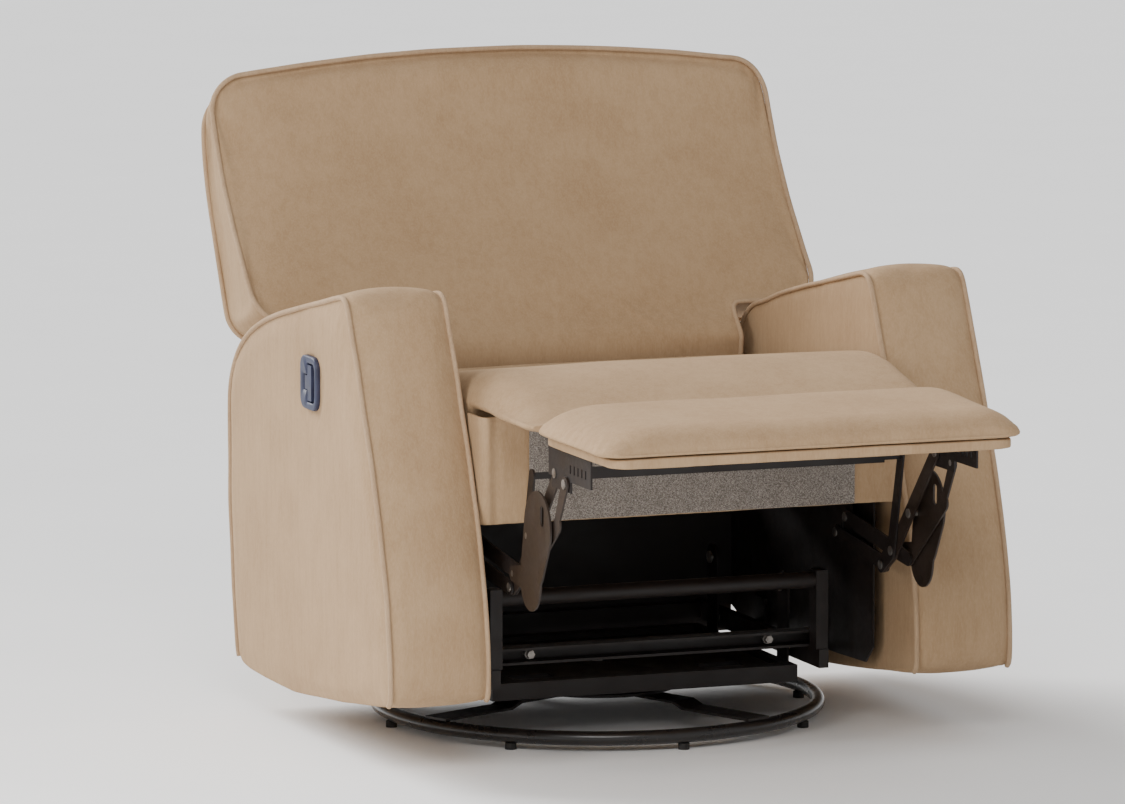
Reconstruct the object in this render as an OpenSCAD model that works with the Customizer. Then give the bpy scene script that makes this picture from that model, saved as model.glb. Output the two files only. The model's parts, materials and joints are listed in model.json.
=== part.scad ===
// Swivel glider recliner chair, footrest raised and back part reclined.
// Millimetres. Origin: the swivel axis at floor level. +Z up, the chair faces -Y.

/* [Chair] */
// Outer width over both arms
overall_w = 1038; // [1020:2:1060]
// Clear width between the arms
seat_w = 706; // [700:2:712]
// Height of the back's crown at its middle
back_top = 1026; // [1010:2:1040]

/* [Base] */
// Radius of the floor ring at the middle of its tube
ring_r = 353; // [340:1:360]
// Diameter of the floor ring's tube
ring_tube = 23; // [18:1:26]
// How far the base stands turned under the chair
base_turn = -21; // [-45:1:45]

/* [Glider] */
// Distance between the upper and lower pins of a glide link
glide_drop = 100; // [90:1:110]
// Distance of the front and rear glide links from the swivel axis
glide_y = 150; // [140:1:155]

/* [Footrest] */
// Width of the footrest pad
pad_w = 680; // [640:2:690]
// Length of the footrest pad from its rear edge to its tip
pad_l = 300; // [280:2:300]
// Thickness of each linkage plate
plate_t = 3; // [2.5:0.1:3.2]

/* [Latch] */
// Height of the release bezel
bezel_h = 84; // [76:1:90]
// Width of the release bezel
bezel_w = 70; // [60:1:70]

/* [Hidden] */

$fn = 64;
play = 0.1;               // radial play of a pin in its moving plate
in_x = seat_w / 2;        // inner face of an arm
out_x = overall_w / 2;    // outer face of an arm

// Heights of the steel stack, from the floor up
pad_h = 10;
ring_z = pad_h + ring_tube / 2;
ring_top = pad_h + ring_tube;
hub_z = 45;
race_z = 49.5;
plate_z = 60;
rail_z = 69;
rail_top = 96;

// Glide linkage: upper pins on the carriage, lower pins on the rails
upper_pin_z = 215;
lower_pin_z = upper_pin_z - glide_drop;
glide_pin_r = 6;

// Plate layers of the footrest linkage, as distances from the middle of the chair
layer_in = [315, 311, 307, 303];

// Footrest linkage pivots, as (y, z), with the footrest raised
drive_pivot = [-280, 340];
knee = [-481, 316];
control_pivot = [-240.5, 310];
control_pin = [-442, 288.5];
drive_tip = [-529, 309.5];
lift_top = [-640, 492];
front_top = [-690, 482];
link_pin_r = 5;
lift_stud = [-541, 383]; // second pin of the kidney plate, on the lift link
bar_end = [-517, 470];     // cross bar between the two linkages
open_play = 1.2;          // radial play at the two pivots where the loop of links is open

// Footrest board: lower rear edge, as (y, z)
board_y = -612;
board_z = 533;
board_t = 15;

// Back hinge, as (y, z), and the height of the wings' lower edge over the arms and behind them
back_pivot = [257, 503];
wing_low = 617;
wing_low_rear = 566;

function bezier(a, b, c, d, n) = [for (i = [0:n]) let (t = i / n, s = 1 - t)
    s * s * s * a + 3 * s * s * t * b + 3 * s * t * t * c + t * t * t * d];
function polar(r, a) = [r * cos(a), r * sin(a)];

// Outline of an arm seen from the side, as (y, z)
arm_front = bezier([-462, 150], [-462, 300], [-385, 470], [-293, 660], 14);
arm_nose = bezier([-270, 706], [-262, 722], [-250, 722], [-225, 716], 5);
arm_top = bezier([-225, 716], [40, 655], [318, 640], [307, 470], 18);
arm_outline = concat([[-462, 122], [-456, 117]], arm_front, arm_nose, arm_top,
    [[306, 330], [290, 180], [272, 84], [262, 72], [215, 66], [0, 64], [-240, 88]]);
arm_pocket = [[-425, 136], [-425, 240], [-352, 470], [-262, 670], [-225, 684],
    [40, 630], [215, 590], [268, 520], [268, 340], [240, 96], [0, 92], [-240, 112]];
arm_frame_hole = [[-390, 170], [-390, 240], [-320, 450], [-235, 640], [-205, 645],
    [40, 592], [190, 555], [232, 500], [232, 340], [210, 126], [0, 124], [-240, 144]];

// Outline of the back seen from the side, as (y, z)
back_front = bezier([200, 570], [330, 700], [440, 800], [497, 960], 14);
back_crown = bezier([497, 960], [500, back_top + 8], [542, back_top + 10], [547, 950], 10);
back_rear = bezier([549, 905], [552, 800], [440, 640], [372, 490], 12);
back_tail = [[334, 446], [316, 432], [250, 452], [206, 520]];

// Extrudes a side view, drawn as (y, z), between two places across the chair.
module side_slab(x0, x1) {
    translate([x0, 0, 0]) rotate([90, 0, 90]) linear_extrude(x1 - x0) children();
}

// Extrudes a front view, drawn as (x, z), between two places along Y.
module front_slab(y0, y1) {
    translate([0, y1, 0]) rotate([90, 0, 0]) linear_extrude(y1 - y0) children();
}

// Draws its children on the right and mirrored on the left.
module both_sides() {
    children();
    mirror([1, 0, 0]) children();
}

// A box between two corners.
module block(a, b) {
    translate(a) cube(b - a);
}

// A plate outline with round ends of different radii.
module taper(a, ra, b, rb) {
    d = b - a;
    turn = acos((ra - rb) / norm(d));
    way = atan2(d[1], d[0]);
    translate(a) circle(ra);
    translate(b) circle(rb);
    polygon([a + polar(ra, way + turn), b + polar(rb, way + turn),
        b + polar(rb, way - turn), a + polar(ra, way - turn)]);
}

// A plate in one layer of the linkage, with a running bore and an open one.
module plate(layer, bores, open_bores = []) {
    side_slab(layer_in[layer], layer_in[layer] + plate_t) difference() {
        children();
        for (p = bores) translate(p) circle(link_pin_r + play);
        for (p = open_bores) translate(p) circle(link_pin_r + open_play);
    }
}

// A round bar across the chair at (y, z).
module cross_pin(p, r, x0, x1) {
    translate([x0, p[0], p[1]]) rotate([0, 90, 0]) cylinder(r = r, h = x1 - x0);
}

// A rivet: shank between two places, with a head past one or both ends.
module rivet(p, x0, x1, head_in, head_out) {
    cross_pin(p, link_pin_r, x0, x1);
    if (head_in) cross_pin(p, link_pin_r + 2.5, x0 - 1.6, x0);
    if (head_out) cross_pin(p, link_pin_r + 2.5, x1, x1 + 1.8);
}

module rounded_rect(w, h, r) {
    square([w - 2 * r, h], center = true);
    square([w, h - 2 * r], center = true);
    for (x = [-1, 1], y = [-1, 1]) translate([x * (w / 2 - r), y * (h / 2 - r)]) circle(r);
}

// ---- Base, which stands on the floor ----

module floor_ring() {
    color("#1c1a1a") translate([0, 0, ring_z])
        rotate_extrude($fn = 128) translate([ring_r, 0]) circle(d = ring_tube);
}

module base_spokes() {
    strap = 46;
    color("#1e1a19") for (a = [45:90:315]) rotate(a + base_turn - 90)
        translate([0, strap / 2, 0]) rotate([90, 0, 0]) linear_extrude(strap)
            polygon([[85, hub_z - 4], [190, hub_z - 4], [212, ring_top], [ring_r + 6, ring_top],
                [ring_r + 6, ring_top + 4], [215, ring_top + 4], [193, hub_z], [85, hub_z]]);
}

module hub_plate() {
    color("#1e1a19") translate([0, 0, hub_z]) cylinder(r = 128, h = race_z - hub_z);
}

module floor_pads() {
    color("#141414") for (i = [0:7]) rotate(22.5 + 45 * i + base_turn)
        translate([ring_r, 0, 0]) cylinder(r = 9, h = pad_h);
}

module lower_race() {
    color("#4a4644") translate([0, 0, race_z]) difference() {
        cylinder(r = 118, h = 9);
        translate([0, 0, -1]) cylinder(r = 84, h = 11);
    }
}

module pivot_bolt() {
    color("#77736f") translate([0, 0, race_z]) cylinder(r = 8, h = 42);
    color("#77736f") translate([0, 0, 91.5]) cylinder(d = 26, h = 9, $fn = 6);
}

// ---- Carriage, which turns on the base ----

module swivel_plate() {
    color("#2b2524") translate([0, 0, plate_z]) difference() {
        cylinder(r = 120, h = 6);
        translate([0, 0, -1]) cylinder(r = 8 + play, h = 8);
    }
}

module carriage_cross_bars() {
    color("#2a1f1c") for (s = [-1, 1])
        block([-240, s * 70 - 20, plate_z + 6], [240, s * 70 + 20, 86]);
}

module carriage_end_rails() {
    color("#2a1f1c") for (s = [-1, 1])
        block([-258, s * 200 - 15, rail_z], [258, s * 200 + 15, rail_top]);
}

module carriage_side_rails() {
    color("#2a1f1c") both_sides() block([240, -185, rail_z], [258, 185, rail_top]);
}

module carriage_pan() {
    color("#2a1f1c") translate([0, 0, 86]) linear_extrude(2) difference() {
        square([478, 368], center = true);
        circle(30);
        for (x = [-160, 160], y = [-130, 130]) translate([x, y]) square([70, 46], center = true);
        for (x = [-80, 80]) translate([x, 0]) circle(22);
    }
}

module carriage_towers() {
    color("#241c1a") both_sides() for (s = [-1, 1])
        side_slab(258, 261) difference() {
            union() {
                translate([s * glide_y - 22, rail_z + 1]) square([44, upper_pin_z - rail_z - 1]);
                translate([s * glide_y, upper_pin_z]) circle(22);
            }
            translate([s * glide_y, upper_pin_z]) circle(glide_pin_r);
        }
}

module carriage_bolts() {
    color("#6f6a66") both_sides() for (s = [-1, 1], d = [-10, 10])
        translate([261, s * glide_y + d, 83]) rotate([0, 90, 0]) cylinder(d = 11, h = 4, $fn = 6);
}

module upper_glide_pins() {
    color("#8a8580") both_sides() for (s = [-1, 1]) {
        cross_pin([s * glide_y, upper_pin_z], glide_pin_r, 255, 265.6);
        cross_pin([s * glide_y, upper_pin_z], 9, 265.6, 266.8);
        cross_pin([s * glide_y, upper_pin_z], 10, 252, 255);
    }
}

// ---- Glide links, which swing between the carriage and the rails ----

module glide_link(y) {
    color("#3a3230") both_sides() side_slab(262, 265) difference() {
        taper([y, upper_pin_z], 14, [y, lower_pin_z], 14);
        for (z = [upper_pin_z, lower_pin_z]) translate([y, z]) circle(glide_pin_r + play);
    }
}

module front_glide_links() glide_link(-glide_y);

module rear_glide_links() glide_link(glide_y);

// ---- Chassis, which carries the seat and the arms ----

module glide_rails() {
    color("#2a1f1c") both_sides() block([268, -280, 100], [284, 250, 130]);
}

module lower_glide_pins() {
    color("#8a8580") both_sides() for (s = [-1, 1]) {
        cross_pin([s * glide_y, lower_pin_z], glide_pin_r, 261.6, 268);
        cross_pin([s * glide_y, lower_pin_z], 9, 265.8, 268);
    }
}

module rail_brackets() {
    color("#2a1f1c") both_sides() for (y = [-120, 120]) {
        block([284, y - 25, 102], [332, y + 25, 106]);
        block([328, y - 25, 106], [332, y + 25, 150]);
    }
}

module rail_posts() {
    color("#2a1f1c") both_sides() block([264, -277, 130], [284, -249, 256]);
}

module front_channel() {
    color("#2d211e") difference() {
        block([-284, -246, 130], [284, -214, 156]);
        block([-278, -246.5, 134], [278, -218, 152]);
    }
}

module channel_bolts() {
    color("#6f6a66") for (x = [-201, 201]) {
        translate([x, -218, 143]) rotate([90, 0, 0]) cylinder(r = 8, h = 10);
        translate([x, -228, 143]) rotate([90, 0, 0]) cylinder(d = 13, h = 8, $fn = 6);
    }
}

module front_tube() {
    color("#2d211e") cross_pin([-263, 240], 13, -264, 264);
}

module rear_tube() {
    color("#2d211e") block([-268, 225, 103], [268, 250, 127]);
}

module side_panels() {
    color("#151110") both_sides() side_slab(332, 335) polygon([
        [-345, 140], [-315, 112], [-200, 108], [210, 104], [253, 118],
        [253, 378], [-345, 378]]);
}

module rear_panel() {
    color("#151110") block([-332, 250, 74], [332, 253, 378]);
}

module motion_plates() {
    color("#231b19") both_sides() plate(0, []) difference() {
        union() {
            taper(drive_pivot, 20, [-236, 415], 24);
            taper(control_pivot, 18, [-236, 415], 24);
            translate([-262, 384]) square([110, 52]);
        }
        for (p = [drive_pivot, control_pivot]) translate(p) circle(link_pin_r);
        for (y = [-225, -180]) translate([y, 412]) circle(4);
    }
}

module motion_pins() {
    color("#8a8580") both_sides() {
        for (p = [drive_pivot, control_pivot])
            rivet(p, layer_in[1] - 0.4, layer_in[0] + plate_t, true, true);
        for (y = [-225, -180]) {
            cross_pin([y, 412], 4, layer_in[0] - 0.4, layer_in[0] + plate_t);
            cross_pin([y, 412], 7, layer_in[0] - 3, layer_in[0] - 0.4);
        }
    }
}

module side_seat_rails() {
    color("#c9a06c") for (x0 = [-343, 318]) block([x0, -380, 382], [x0 + 25, 182, 450]);
}

module front_seat_board() {
    color("#c9a06c") block([-343, -404, 386], [343, -380, 538]);
}

module rear_seat_rail() {
    color("#c9a06c") block([-318, 156, 384], [318, 180, 450]);
}

module seat_springs() {
    bend_r = 20;
    wire = 4;
    waves = 12;
    color("#55504c") for (x = [-240:120:240]) translate([x, 0, 452]) linear_extrude(wire) {
        for (i = [0:waves - 1]) translate([0, -340 + 2 * bend_r * (i + 0.5)])
            rotate(i % 2 == 0 ? -90 : 90) difference() {
                circle(bend_r + wire / 2);
                circle(bend_r - wire / 2);
                translate([-bend_r * 2, -bend_r * 2]) square([bend_r * 4, bend_r * 2]);
            }
        translate([-wire / 2, -380]) square([wire, 40]);
        translate([-wire / 2, -340 + 2 * bend_r * waves]) square([wire, 40]);
    }
}

module seat_front_cover() {
    color("#a8906f") difference() {
        union() {
            block([-343, -412, 381], [343, -345, 548]);
            block([-in_x + 2, -402, 381], [in_x - 2, -345, 548]);
            both_sides() translate([341, -402, 381]) cylinder(r = 10, h = 167);
        }
        block([-344, -406, 370], [344, -340, 541]);
    }
}

module felt_panel() {
    color("#a9a6a3") block([-270, -415, 383], [270, -412, 541]);
}

module seat_cushion() {
    color("#b39a78") side_slab(-345, 345) polygon([
        [-426, 552], [-338, 552], [-338, 462], [150, 462], [170, 480],
        [172, 520], [160, 540], [60, 561], [-100, 586], [-300, 616], [-360, 621],
        [-405, 616], [-434, 596], [-436, 562]]);
}

module arm_blocks() {
    color("#c9a06c") both_sides() for (y = [-190, 60])
        block([343.5, y - 40, 390], [in_x, y + 40, 450]);
}

module arm_cover() {
    skin = 22;
    difference() {
        side_slab(in_x, out_x) polygon(arm_outline);
        side_slab(in_x + skin, out_x - skin) polygon(arm_pocket);
        side_slab(in_x + skin, out_x - skin)
            polygon([[-425, 60], [-425, 137], [-240, 113], [0, 93], [240, 97], [240, 40]]);
    }
}

module left_arm_cover() {
    color("#c2a684") difference() {
        mirror([1, 0, 0]) arm_cover();
        translate([-out_x - 1, -113, 572]) rotate([90, 0, 90]) linear_extrude(30)
            rounded_rect(bezel_w - 8, bezel_h - 8, 14);
    }
}

module right_arm_cover() {
    color("#c2a684") arm_cover();
}

module arm_frames() {
    color("#c9a06c") both_sides() side_slab(400, 470) difference() {
        polygon(arm_pocket);
        polygon(arm_frame_hole);
    }
}

module arm_boards() {
    color("#1d1a18") both_sides() side_slab(in_x + 22, out_x - 22) polygon([
        [-425, 115], [-240, 90], [0, 66], [215, 68], [240, 74], [240, 80],
        [0, 78], [-240, 101], [-425, 126]]);
}

// Bezel with a cup behind its finger gap. Its plane faces -X.
module release_bezel() {
    color("#27304f") translate([-out_x, -113, 572]) rotate([90, 0, 90]) difference() {
        union() {
            translate([0, 0, -5]) linear_extrude(5) rounded_rect(bezel_w, bezel_h, 18);
            linear_extrude(26) rounded_rect(bezel_w - 10, bezel_h - 10, 13);
        }
        translate([0, 0, -6]) linear_extrude(30) rounded_rect(bezel_w - 16, bezel_h - 22, 8);
    }
}

module recline_plates() {
    color("#2b2524") both_sides() {
        side_slab(343, 346) taper([140, 410], 22, back_pivot, 18);
        cross_pin(back_pivot, link_pin_r, 328, 340);
        cross_pin(back_pivot, 9, 326.6, 328.6);
        cross_pin(back_pivot, 10, 334.2, 344.5);
    }
}

// ---- Release handle, hinged upright inside the bezel ----

module release_handle() {
    color("#303a5e") translate([-out_x, 0, 572]) {
        block([-4.5, -123, -28], [1.5, -108, 28]);
        block([-4.5, -108.5, -11], [1.5, -96, 11]);
        translate([-1.5, -96, -11]) cylinder(r = 3, h = 22);
    }
}

// ---- Back, hinged behind the seat ----

// The rear outline moved forwards, from the foot up, above the hinge.
function rear_inset(d) = [for (i = [len(back_rear) - 1:-1:0]) if (back_rear[i][1] > 500)
    back_rear[i] - [d, 0]];

// Side view of the slab that the timber frame takes.
module frame_side() {
    polygon(concat([for (p = back_rear) if (p[1] > 500) p - [9, 0]], rear_inset(34)));
}

// Half of the back's outline seen from the front, as (x, z), from the crown down, without the
// points on the middle line.
function crown_z(x) = back_top - x * x / 6500;
function wing_half(wing_x, low) = let (top_r = 62, low_r = 45, cx = wing_x - top_r) concat(
    [for (i = [1:6]) [cx * i / 6, crown_z(cx * i / 6)]],
    [for (a = [75:-15:0]) [cx, crown_z(cx) - top_r] + polar(top_r, a)],
    [for (a = [0:-15:-90]) [wing_x - low_r, low + low_r] + polar(low_r, a)]);

module back_view(wing_x, tail_x, low) {
    half = wing_half(wing_x, low);
    polygon(concat([[0, back_top]], half, [for (i = [len(half) - 1:-1:0]) [-half[i][0], half[i][1]]]));
    translate([-tail_x, 420]) square([2 * tail_x, 240]);
}

// Cushion, with a slot on each side for the hinge bracket
module back_cushion() {
    color("#a58c6b") difference() {
        intersection() {
            side_slab(-490, 490) polygon(concat(back_front, back_crown, [[549, 908], [514, 908]],
                [for (p = back_rear) if (p[1] > 500) p - [35, 0]], back_tail));
            union() {
                front_slab(150, 345) back_view(488, 325, wing_low);
                front_slab(344, 600) back_view(488, 325, wing_low_rear);
            }
        }
        both_sides() block([324, 340, 560], [336, 420, 606]);
    }
}

module back_frame() {
    color("#c9a06c") intersection() {
        side_slab(-440, 440) frame_side();
        union() {
            both_sides() block([285, 300, 500], [330, 600, 900]);
            block([-430, 300, 846], [430, 600, 900]);
            block([-430, 300, 664], [430, 600, 720]);
            block([-280, 300, 510], [280, 600, 560]);
        }
    }
}

module outside_back() {
    color("#a58c6b") intersection() {
        side_slab(-480, 480) polygon(concat(back_rear, [for (i = [len(back_rear) - 1:-1:0])
            back_rear[i] - [8, 0]]));
        front_slab(300, 600) back_view(480, 325, wing_low_rear);
    }
}

module back_brackets() {
    color("#2b2524") both_sides() side_slab(330, 333) difference() {
        union() {
            taper(back_pivot, 17, [345, 500], 20);
            taper([345, 500], 20, [386, 584], 18);
        }
        translate(back_pivot) circle(link_pin_r + play);
    }
}

// ---- Footrest linkage ----

module drive_links() {
    color("#241c1a") both_sides() {
        plate(1, [drive_pivot, knee]) {
            taper(drive_pivot, 13, knee, 13);
            taper(knee, 13, drive_tip, 11);
        }
        cross_pin(drive_tip, link_pin_r, layer_in[1] + plate_t, layer_in[0] + plate_t + 0.4);
        cross_pin(drive_tip, link_pin_r + 2.5, layer_in[0] + plate_t + 0.4, layer_in[0] + plate_t + 2);
    }
}

module control_links() {
    color("#241c1a") both_sides() plate(1, [control_pivot], [control_pin])
        taper(control_pivot, 12, control_pin, 12);
}

module lift_links() {
    color("#33261f") both_sides() side_slab(layer_in[2], layer_in[2] + plate_t) difference() {
        union() {
            taper(control_pin, 13, knee, 15);
            taper(knee, 15, lift_top, 12);
        }
        for (p = [knee, control_pin, lift_stud, lift_top]) translate(p) circle(link_pin_r);
    }
}

module kidney_plates() {
    color("#3a2a22") both_sides() side_slab(321, 324) difference() {
        union() {
            taper([-590, 402], 56, [-572, 352], 47);
            taper([-568, 356], 43, [-560, 312], 42);
            taper([-540, 318], 20, knee, 12);
        }
        for (p = [knee, lift_stud]) translate(p) circle(link_pin_r);
        hull() for (d = [-9, 9]) translate([-611, 422 + d]) circle(7);
    }
}

// Arms that carry the cross bar, inside the lift links
module sync_arms() {
    color("#33261f") both_sides() side_slab(layer_in[3], layer_in[3] + plate_t) difference() {
        union() {
            taper(control_pin, 13, knee, 14);
            taper(knee, 13.5, bar_end, 11);
        }
        for (p = [knee, control_pin]) translate(p) circle(link_pin_r);
    }
}

module lift_pins() {
    color("#8a8580") both_sides() {
        for (p = [knee, control_pin])
            rivet(p, layer_in[3], layer_in[1] + plate_t + 0.3, true, false);
        cross_pin(control_pin, link_pin_r + 2, layer_in[1] + plate_t + 0.3, layer_in[1] + plate_t + 1.6);
        cross_pin(knee, link_pin_r + 1.5, layer_in[1] + plate_t + 0.3, 321);
        cross_pin(knee, link_pin_r, 321, 324);
        rivet(lift_stud, layer_in[2], 324, true, false);
        rivet(lift_top, layer_in[2], layer_in[1] + plate_t + 0.3, true, true);
    }
}

module sync_bar() {
    color("#231a17") {
        side_slab(-276, 276) translate([bar_end[0] - 2, bar_end[1] - 9]) square([4, 18]);
        both_sides() side_slab(275, 303) translate([bar_end[0] - 2, bar_end[1] - 5]) square([4, 10]);
    }
}

module front_links() {
    color("#4a3a30") both_sides() plate(0, [drive_tip], [front_top]) {
        taper(drive_tip, 9.5, [-658, 416], 13);
        taper([-650, 407], 8, front_top, 12);
    }
}

// ---- Footrest ----

module footrest_brackets() {
    color("#2a1f1b") both_sides() {
        side_slab(layer_in[1], layer_in[1] + plate_t) difference() {
            union() {
                translate([-790, 487]) square([177, board_z - 487]);
                translate([-706, 470]) square([78, 20]);
            }
            translate(lift_top) circle(link_pin_r + play);
            translate(front_top) circle(link_pin_r);
            for (i = [0:4]) translate([-772 + 16 * i, 500]) square([5, 13]);
        }
        block([290, -785, board_z - 3], [layer_in[1], -613, board_z]);
    }
}

module bracket_pins() {
    color("#8a8580") both_sides() {
        cross_pin(front_top, link_pin_r, layer_in[1], layer_in[0] + plate_t + 0.4);
        cross_pin(front_top, link_pin_r + 2.5, layer_in[0] + plate_t + 0.4, layer_in[0] + plate_t + 2);
        for (y = [-760, -640]) translate([300, y, board_z - 6]) cylinder(r = 5, h = 3);
    }
}

module footrest_board() {
    color("#a8906f") translate([0, board_y - pad_l / 2 + 5, board_z]) linear_extrude(board_t)
        rounded_rect(pad_w - 40, pad_l - 16, 22);
}

module footrest_pad() {
    color("#b39a78") side_slab(-pad_w / 2, pad_w / 2) polygon(concat(
        [[board_y, 551], [board_y + 2, 563]],
        bezier([board_y, 575], [board_y - 40, 626], [board_y - pad_l + 60, 626],
            [board_y - pad_l + 6, 573], 10),
        [[board_y - pad_l, 555], [board_y - pad_l + 6, 548.5], [board_y - 8, 548.5]]));
}

// ---- Bridge pad, hinged on a fabric crease at the front of the seat ----

module bridge_pad() {
    color("#b39a78") side_slab(-342, 342) polygon([
        [-448, 552], [-460, 547], [-575, 547], [-588, 552], [-590, 566],
        [-580, 576], [-520, 590], [-462, 600], [-449, 592]]);
}

floor_ring();
base_spokes();
hub_plate();
floor_pads();
lower_race();
pivot_bolt();
swivel_plate();
carriage_cross_bars();
carriage_end_rails();
carriage_side_rails();
carriage_pan();
carriage_towers();
carriage_bolts();
upper_glide_pins();
front_glide_links();
rear_glide_links();
glide_rails();
lower_glide_pins();
rail_brackets();
rail_posts();
front_channel();
channel_bolts();
front_tube();
rear_tube();
side_panels();
rear_panel();
motion_plates();
motion_pins();
side_seat_rails();
front_seat_board();
rear_seat_rail();
seat_springs();
seat_front_cover();
felt_panel();
seat_cushion();
arm_blocks();
left_arm_cover();
right_arm_cover();
arm_frames();
arm_boards();
release_bezel();
recline_plates();
release_handle();
back_cushion();
back_frame();
outside_back();
back_brackets();
drive_links();
control_links();
lift_links();
kidney_plates();
sync_arms();
lift_pins();
sync_bar();
front_links();
footrest_brackets();
bracket_pins();
footrest_board();
footrest_pad();
bridge_pad();
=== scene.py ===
import json
import math

import bpy
import numpy as np
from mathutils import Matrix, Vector, noise


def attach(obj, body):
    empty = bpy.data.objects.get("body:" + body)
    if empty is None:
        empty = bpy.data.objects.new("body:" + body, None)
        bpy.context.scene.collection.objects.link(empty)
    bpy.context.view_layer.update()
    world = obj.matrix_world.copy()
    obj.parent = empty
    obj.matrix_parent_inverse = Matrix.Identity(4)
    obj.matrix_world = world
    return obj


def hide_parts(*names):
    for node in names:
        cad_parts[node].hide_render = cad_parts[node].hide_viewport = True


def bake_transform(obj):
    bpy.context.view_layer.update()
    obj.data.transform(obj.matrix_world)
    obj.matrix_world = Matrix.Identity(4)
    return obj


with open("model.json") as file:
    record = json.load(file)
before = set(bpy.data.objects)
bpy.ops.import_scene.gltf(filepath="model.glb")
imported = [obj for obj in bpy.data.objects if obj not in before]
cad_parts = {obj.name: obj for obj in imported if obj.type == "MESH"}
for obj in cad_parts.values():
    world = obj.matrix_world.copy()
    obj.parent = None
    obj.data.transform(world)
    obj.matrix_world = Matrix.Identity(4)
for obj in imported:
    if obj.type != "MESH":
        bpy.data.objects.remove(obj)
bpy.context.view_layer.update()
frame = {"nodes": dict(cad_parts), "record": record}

# ---------------------------------------------------------------- small tools


def bezier(a, b, c, d, count):
    """Points along a cubic curve in the side view, as (y, z) in metres."""
    t = np.linspace(0, 1, count)[:, None]
    s = 1 - t
    a, b, c, d = (np.array(p, float) for p in (a, b, c, d))
    return s**3 * a + 3 * s * s * t * b + 3 * s * t * t * c + t**3 * d


def resample(points, count, closed=True):
    """Points at equal steps along a polyline."""
    pts = np.vstack([points, points[:1]]) if closed else np.asarray(points, float)
    steps = np.linalg.norm(np.diff(pts, axis=0), axis=1)
    along = np.concatenate([[0], np.cumsum(steps)])
    wanted = np.linspace(0, along[-1], count, endpoint=not closed)
    return np.stack([np.interp(wanted, along, pts[:, k]) for k in range(pts.shape[1])], 1)


def soften(loop, passes):
    """Rounds the corners of a closed loop."""
    for _ in range(passes):
        loop = 0.5 * loop + 0.25 * (np.roll(loop, 1, 0) + np.roll(loop, -1, 0))
    return loop


def smoothstep(low, high, x):
    """Share from 0 at low to 1 at high, eased at both ends."""
    t = np.clip((np.asarray(x, float) - low) / (high - low), 0, 1)
    return t * t * (3 - 2 * t)


def hump(x, centre, width):
    """A smooth hump of height 1 at the centre, nearly gone at twice the width from it."""
    return np.exp(-((x - centre) / width) ** 2)


def ripple(points, scale, seed):
    """Smooth noise from about -1 to 1 at each point."""
    shift = Vector((seed, seed * 1.7, -seed))
    return np.array([noise.noise(Vector(p) * scale + shift) for p in points])


def convex_outline(points):
    """Counter-clockwise outline of 2-D points."""
    pts = sorted(map(tuple, np.unique(np.round(points, 5), axis=0)))

    def half(run):
        out = []
        for p in run:
            while len(out) > 1:
                (ax, ay), (bx, by) = out[-2], out[-1]
                if (bx - ax) * (p[1] - ay) - (by - ay) * (p[0] - ax) > 0:
                    break
                out.pop()
            out.append(p)
        return out[:-1]

    return np.array(half(pts) + half(pts[::-1]))


def nearest(points, place):
    """Index of the point that is nearest to a place."""
    return np.argmin(np.linalg.norm(points - place, axis=1))


def rounded_loop(width, height, radius, per_corner=8):
    """A rounded rectangle centred on the origin, counter-clockwise."""
    radius = min(radius, 0.4999 * min(width, height))
    points = []
    for k, (sx, sy) in enumerate(((1, 1), (-1, 1), (-1, -1), (1, -1))):
        centre = np.array([sx * (width / 2 - radius), sy * (height / 2 - radius)])
        turn = np.radians(90 * k + np.linspace(0, 90, per_corner))
        points.append(centre + radius * np.stack([np.cos(turn), np.sin(turn)], 1))
    return np.vstack(points)


def cast(outline, count):
    """Points of a closed outline round the origin, along evenly turned rays."""
    ahead = np.roll(outline, -1, 0)
    points = []
    for turn in (np.arange(count) + 0.5) * 2 * math.pi / count:
        way = np.array([math.cos(turn), math.sin(turn)])
        side = np.array([-way[1], way[0]])
        a, b = outline @ side, ahead @ side
        hit = a * b <= 0
        share = (a[hit] / np.where(a[hit] == b[hit], 1, a[hit] - b[hit]))[:, None]
        reach = (outline[hit] + (ahead[hit] - outline[hit]) * share) @ way
        points.append(way * reach.max())
    return np.array(points)


def node_points(node):
    """Points of a CAD node's mesh."""
    return np.array([v.co for v in frame["nodes"][node].data.vertices])


def add_object(name, data):
    """A new object in the scene, for a mesh, camera or light."""
    thing = bpy.data.objects.new(name, data)
    bpy.context.scene.collection.objects.link(thing)
    return thing


def new_mesh(name, verts, faces):
    """A new smooth-shaded piece."""
    mesh = bpy.data.meshes.new(name)
    mesh.from_pydata([tuple(v) for v in verts], [], faces)
    mesh.update()
    mesh.shade_smooth()
    return add_object(name, mesh)


def coords(piece):
    """Points of a piece, one row each."""
    flat = np.zeros(len(piece.data.vertices) * 3)
    piece.data.vertices.foreach_get("co", flat)
    return flat.reshape(-1, 3)


def set_coords(piece, points):
    """Moves a piece's points to new places."""
    piece.data.vertices.foreach_set("co", np.asarray(points, float).ravel())
    piece.data.update()


def normals(piece):
    """Unit normals at a piece's points."""
    flat = np.zeros(len(piece.data.vertices) * 3)
    piece.data.vertices.foreach_get("normal", flat)
    return flat.reshape(-1, 3)


def loft(name, loops):
    """A closed skin over a stack of loops of equal, even length. Strips across close its two ends."""
    count = len(loops[0])
    last = (len(loops) - 1) * count
    faces = []
    for row in range(0, last, count):
        for i in range(count):
            j = (i + 1) % count
            faces.append((row + i, row + j, row + count + j, row + count + i))
    for i in range(count // 2 - 1):
        j = count - 1 - i
        faces.append((i + 1, i, j, j - 1))
        faces.append((last + i, last + i + 1, last + j - 1, last + j))
    return new_mesh(name, np.vstack(loops), faces)


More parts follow.
